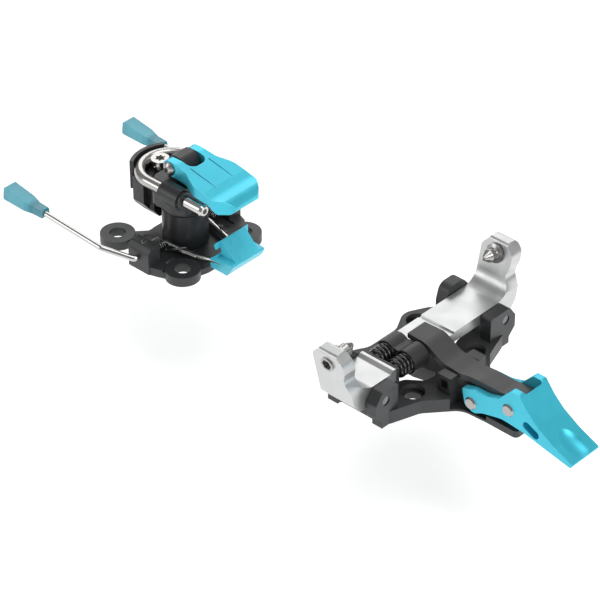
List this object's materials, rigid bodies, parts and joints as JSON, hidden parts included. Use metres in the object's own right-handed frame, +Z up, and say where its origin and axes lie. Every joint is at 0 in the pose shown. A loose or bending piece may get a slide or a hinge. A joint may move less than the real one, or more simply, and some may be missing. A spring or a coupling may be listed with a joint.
{
  "type": "touring ski binding",
  "caption": "Two-piece pin-type touring ski binding: sprung toe wings with a cyan step-in lever, and a turning heel turret with flap and wire brake.",
  "frame": {"origin": "on the ski's top surface, under the middle of the toe pin line", "axes": "+X towards the ski's tip, +Y to the left, +Z up from the ski"},
  "size_m": [0.2811, 0.1058, 0.0448],
  "materials": {
    "black_anodised": "satin black anodised, machined",
    "silver_wing": "satin bead-blasted aluminium",
    "polished_steel": "polished steel",
    "spring_black": "glossy black spring steel",
    "cyan_anodised": "satin cyan anodised",
    "dark_link": "satin dark grey",
    "black_plastic": "moulded black, slight sheen",
    "brake_cyan": "tinted clear moulding",
    "pad_cyan": "moulded cyan"
  },
  "bodies": {
    "bases": {"toe_base": "black_anodised", "wing_axle_right": "polished_steel", "wing_axle_left": "polished_steel", "lever_rivet": "polished_steel", "heel_base": "black_anodised", "turret_post": "polished_steel"},
    "wing_right": {"wing_right": "silver_wing", "toe_pin_right": "polished_steel", "spring_seat": "black_anodised", "spring_housing": "black_plastic", "spring_guide_rods": "polished_steel", "toe_spring_rear": "spring_black", "toe_spring_front": "spring_black"},
    "wing_left": {"wing_left": "silver_wing", "toe_pin_left": "polished_steel"},
    "lever": {"toe_lever": "cyan_anodised", "link_rivet": "polished_steel"},
    "link": {"lever_link": "dark_link"},
    "turret": {"turret": "black_plastic", "rear_cover": "black_plastic", "heel_spring": "polished_steel", "heel_pin_right": "polished_steel", "heel_pin_left": "polished_steel", "pin_bush_right": "black_anodised", "pin_bush_left": "black_anodised", "cover_screw": "polished_steel", "screw_collar": "polished_steel", "flap_axle": "polished_steel", "flap_screws": "polished_steel"},
    "flap": {"heel_flap": "cyan_anodised"},
    "brake": {"brake_pad": "pad_cyan", "brake_wire_right": "polished_steel", "brake_wire_left": "polished_steel", "brake_tip_right": "brake_cyan", "brake_tip_left": "brake_cyan", "brake_spring_right": "polished_steel", "brake_spring_left": "polished_steel"}
  },
  "joints": [
    {"name": "lever_lift", "type": "hinge", "parent": "bases", "child": "lever", "pos_m": [0.0339, 0, 0.0054], "axis": [0, -1, 0], "range_deg": [0, 28]},
    {"name": "wing_right_close", "type": "hinge", "parent": "bases", "child": "wing_right", "pos_m": [0, -0.0353, 0.0121], "axis": [-1, 0, 0], "range_deg": [0, 8]},
    {"name": "wing_left_close", "type": "hinge", "parent": "bases", "child": "wing_left", "pos_m": [0, 0.0353, 0.0121], "axis": [1, 0, 0], "range_deg": [0, 8]},
    {"name": "link_swing", "type": "hinge", "parent": "lever", "child": "link", "pos_m": [0.0521, 0, 0.0116], "axis": [0, -1, 0], "range_deg": [-17.36, 0]},
    {"name": "turret_turn", "type": "hinge", "parent": "bases", "child": "turret", "pos_m": [-0.1275, 0, 0.003], "axis": [0, 0, 1], "range_deg": [-90, 90]},
    {"name": "flap_lift", "type": "hinge", "parent": "turret", "child": "flap", "pos_m": [-0.1273, 0, 0.041], "axis": [0, -1, 0], "range_deg": [0, 175]},
    {"name": "brake_swing", "type": "hinge", "parent": "bases", "child": "brake", "pos_m": [-0.128, 0, 0.0065], "axis": [0, -1, 0], "range_deg": [0, 30]}
  ],
  "couplings": [
    {"joint": "wing_right_close", "follows": "lever_lift", "ratio": 0.28571},
    {"joint": "wing_left_close", "follows": "lever_lift", "ratio": 0.28571},
    {"joint": "link_swing", "follows": "lever_lift", "ratio": -0.62}
  ]
}
